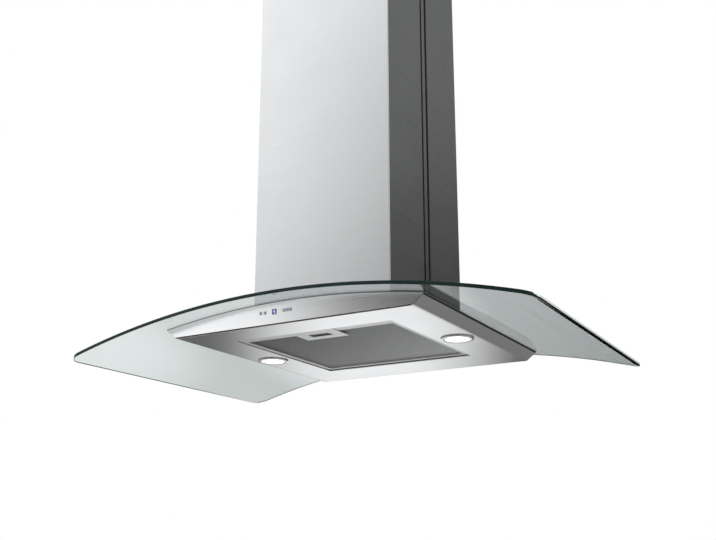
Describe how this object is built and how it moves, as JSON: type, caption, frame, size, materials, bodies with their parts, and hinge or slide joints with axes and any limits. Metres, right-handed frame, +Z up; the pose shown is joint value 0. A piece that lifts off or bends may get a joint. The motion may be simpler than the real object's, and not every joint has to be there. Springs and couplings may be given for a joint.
{
  "type": "curved glass range hood",
  "caption": "Ceiling-hung island range hood with a bent glass canopy, slim steel body, lamps, push buttons, hinged grease filter and telescopic two-part chimney.",
  "frame": {"origin": "centre of the ceiling plate's top face, which meets the ceiling", "axes": "+Z up into the ceiling, +X to the right seen from the front, controls on the front at -Y"},
  "size_m": [0.9, 0.6, 0.877],
  "materials": {
    "brushed_steel": "fine horizontal brushing, satin",
    "plated_steel": "zinc plated sheet",
    "fastener_steel": "zinc plated",
    "canopy_glass": "clear toughened glass with a green tint and dark polished edges",
    "black_rubber": "matte",
    "black_plastic": "fine texture",
    "grey_plastic": "moulded",
    "motor_paint": "satin paint",
    "lamp_trim": "satin ring",
    "lamp_glass": "frosted and domed",
    "lamp_metal": "spun reflector",
    "lamp_light": "light source",
    "display": "dark window with a lit figure",
    "circuit_board": "lacquered board",
    "filter_aluminium": "satin frame",
    "filter_mesh": "expanded metal layers",
    "latch_plastic": "moulded",
    "button_steel": "satin caps"
  },
  "bodies": {
    "ceiling_mount": {"ceiling_plate": "plated_steel", "upper_uprights": "plated_steel", "upper_chimney_front": "brushed_steel", "upper_chimney_rear": "brushed_steel", "upper_screws": "fastener_steel"},
    "hood": {"canopy_glass": "canopy_glass", "glass_gasket": "black_rubber", "glass_pad": "black_rubber", "glass_bolts": "fastener_steel", "front_fascia": "brushed_steel", "right_fascia": "brushed_steel", "rear_fascia": "brushed_steel", "left_fascia": "brushed_steel", "underside_panel": "brushed_steel", "top_cover": "plated_steel", "filter_seat": "plated_steel", "lamp_bezels": "lamp_trim", "lamp_lenses": "lamp_glass", "lamp_cans": "lamp_metal", "lamp_emitters": "lamp_light", "control_carrier": "black_plastic", "display_window": "display", "control_board": "circuit_board", "lower_chimney_front": "brushed_steel", "lower_chimney_rear": "brushed_steel", "seam_channels": "black_plastic", "seam_strips": "brushed_steel", "chimney_guide": "black_plastic", "base_frame": "plated_steel", "lower_uprights": "plated_steel", "cross_braces": "plated_steel", "height_screws": "fastener_steel", "blower_rails": "plated_steel", "blower_housing_left": "black_plastic", "blower_housing_right": "black_plastic", "blower_screws": "fastener_steel", "motor": "motor_paint", "motor_bracket": "plated_steel", "bracket_screws": "fastener_steel", "outlet_adaptor": "plated_steel", "duct_collar": "black_plastic", "terminal_box": "black_plastic", "terminal_lid": "black_plastic", "mains_gland": "black_plastic", "run_capacitor": "grey_plastic"},
    "impeller": {"impeller": "grey_plastic", "motor_shaft": "plated_steel"},
    "front_flap": {"front_flap": "black_plastic"},
    "rear_flap": {"rear_flap": "black_plastic"},
    "filter": {"filter_frame": "filter_aluminium", "filter_mesh": "filter_mesh", "filter_pivots": "plated_steel", "filter_handle": "filter_aluminium", "latch_spring": "plated_steel"},
    "filter_latch": {"filter_latch": "latch_plastic"},
    "light_button": {"light_button": "button_steel"},
    "power_button": {"power_button": "button_steel"},
    "speed_down_button": {"speed_down_button": "button_steel"},
    "speed_up_button": {"speed_up_button": "button_steel"},
    "timer_button": {"timer_button": "button_steel"}
  },
  "joints": [
    {"name": "height_adjust", "type": "slide", "parent": "ceiling_mount", "child": "hood", "axis": [0, 0, -1], "range_m": [0, 0.3]},
    {"name": "impeller_spin", "type": "hinge", "parent": "hood", "child": "impeller", "pos_m": [0, -0.018, -0.685], "axis": [1, 0, 0], "continuous": true},
    {"name": "front_flap_swing", "type": "hinge", "parent": "hood", "child": "front_flap", "pos_m": [0, -0.004, -0.515], "axis": [-1, 0, 0], "range_deg": [0, 78]},
    {"name": "rear_flap_swing", "type": "hinge", "parent": "hood", "child": "rear_flap", "pos_m": [0, 0.004, -0.515], "axis": [1, 0, 0], "range_deg": [0, 78]},
    {"name": "filter_swing", "type": "hinge", "parent": "hood", "child": "filter", "pos_m": [0, 0.1425, -0.8445], "axis": [1, 0, 0], "range_deg": [0, 80]},
    {"name": "latch_pull", "type": "slide", "parent": "filter", "child": "filter_latch", "axis": [0, 1, 0], "range_m": [0, 0.005], "stiffness_N_per_m": 300, "springref_m": -0.003, "deforming": ["latch_spring"]},
    {"name": "light_press", "type": "slide", "parent": "hood", "child": "light_button", "axis": [0, 1, 0], "range_m": [0, 0.0008], "stiffness_N_per_m": 900, "springref_m": -0.0006},
    {"name": "power_press", "type": "slide", "parent": "hood", "child": "power_button", "axis": [0, 1, 0], "range_m": [0, 0.0008], "stiffness_N_per_m": 900, "springref_m": -0.0006},
    {"name": "speed_down_press", "type": "slide", "parent": "hood", "child": "speed_down_button", "axis": [0, 1, 0], "range_m": [0, 0.0008], "stiffness_N_per_m": 900, "springref_m": -0.0006},
    {"name": "speed_up_press", "type": "slide", "parent": "hood", "child": "speed_up_button", "axis": [0, 1, 0], "range_m": [0, 0.0008], "stiffness_N_per_m": 900, "springref_m": -0.0006},
    {"name": "timer_press", "type": "slide", "parent": "hood", "child": "timer_button", "axis": [0, 1, 0], "range_m": [0, 0.0008], "stiffness_N_per_m": 900, "springref_m": -0.0006}
  ]
}
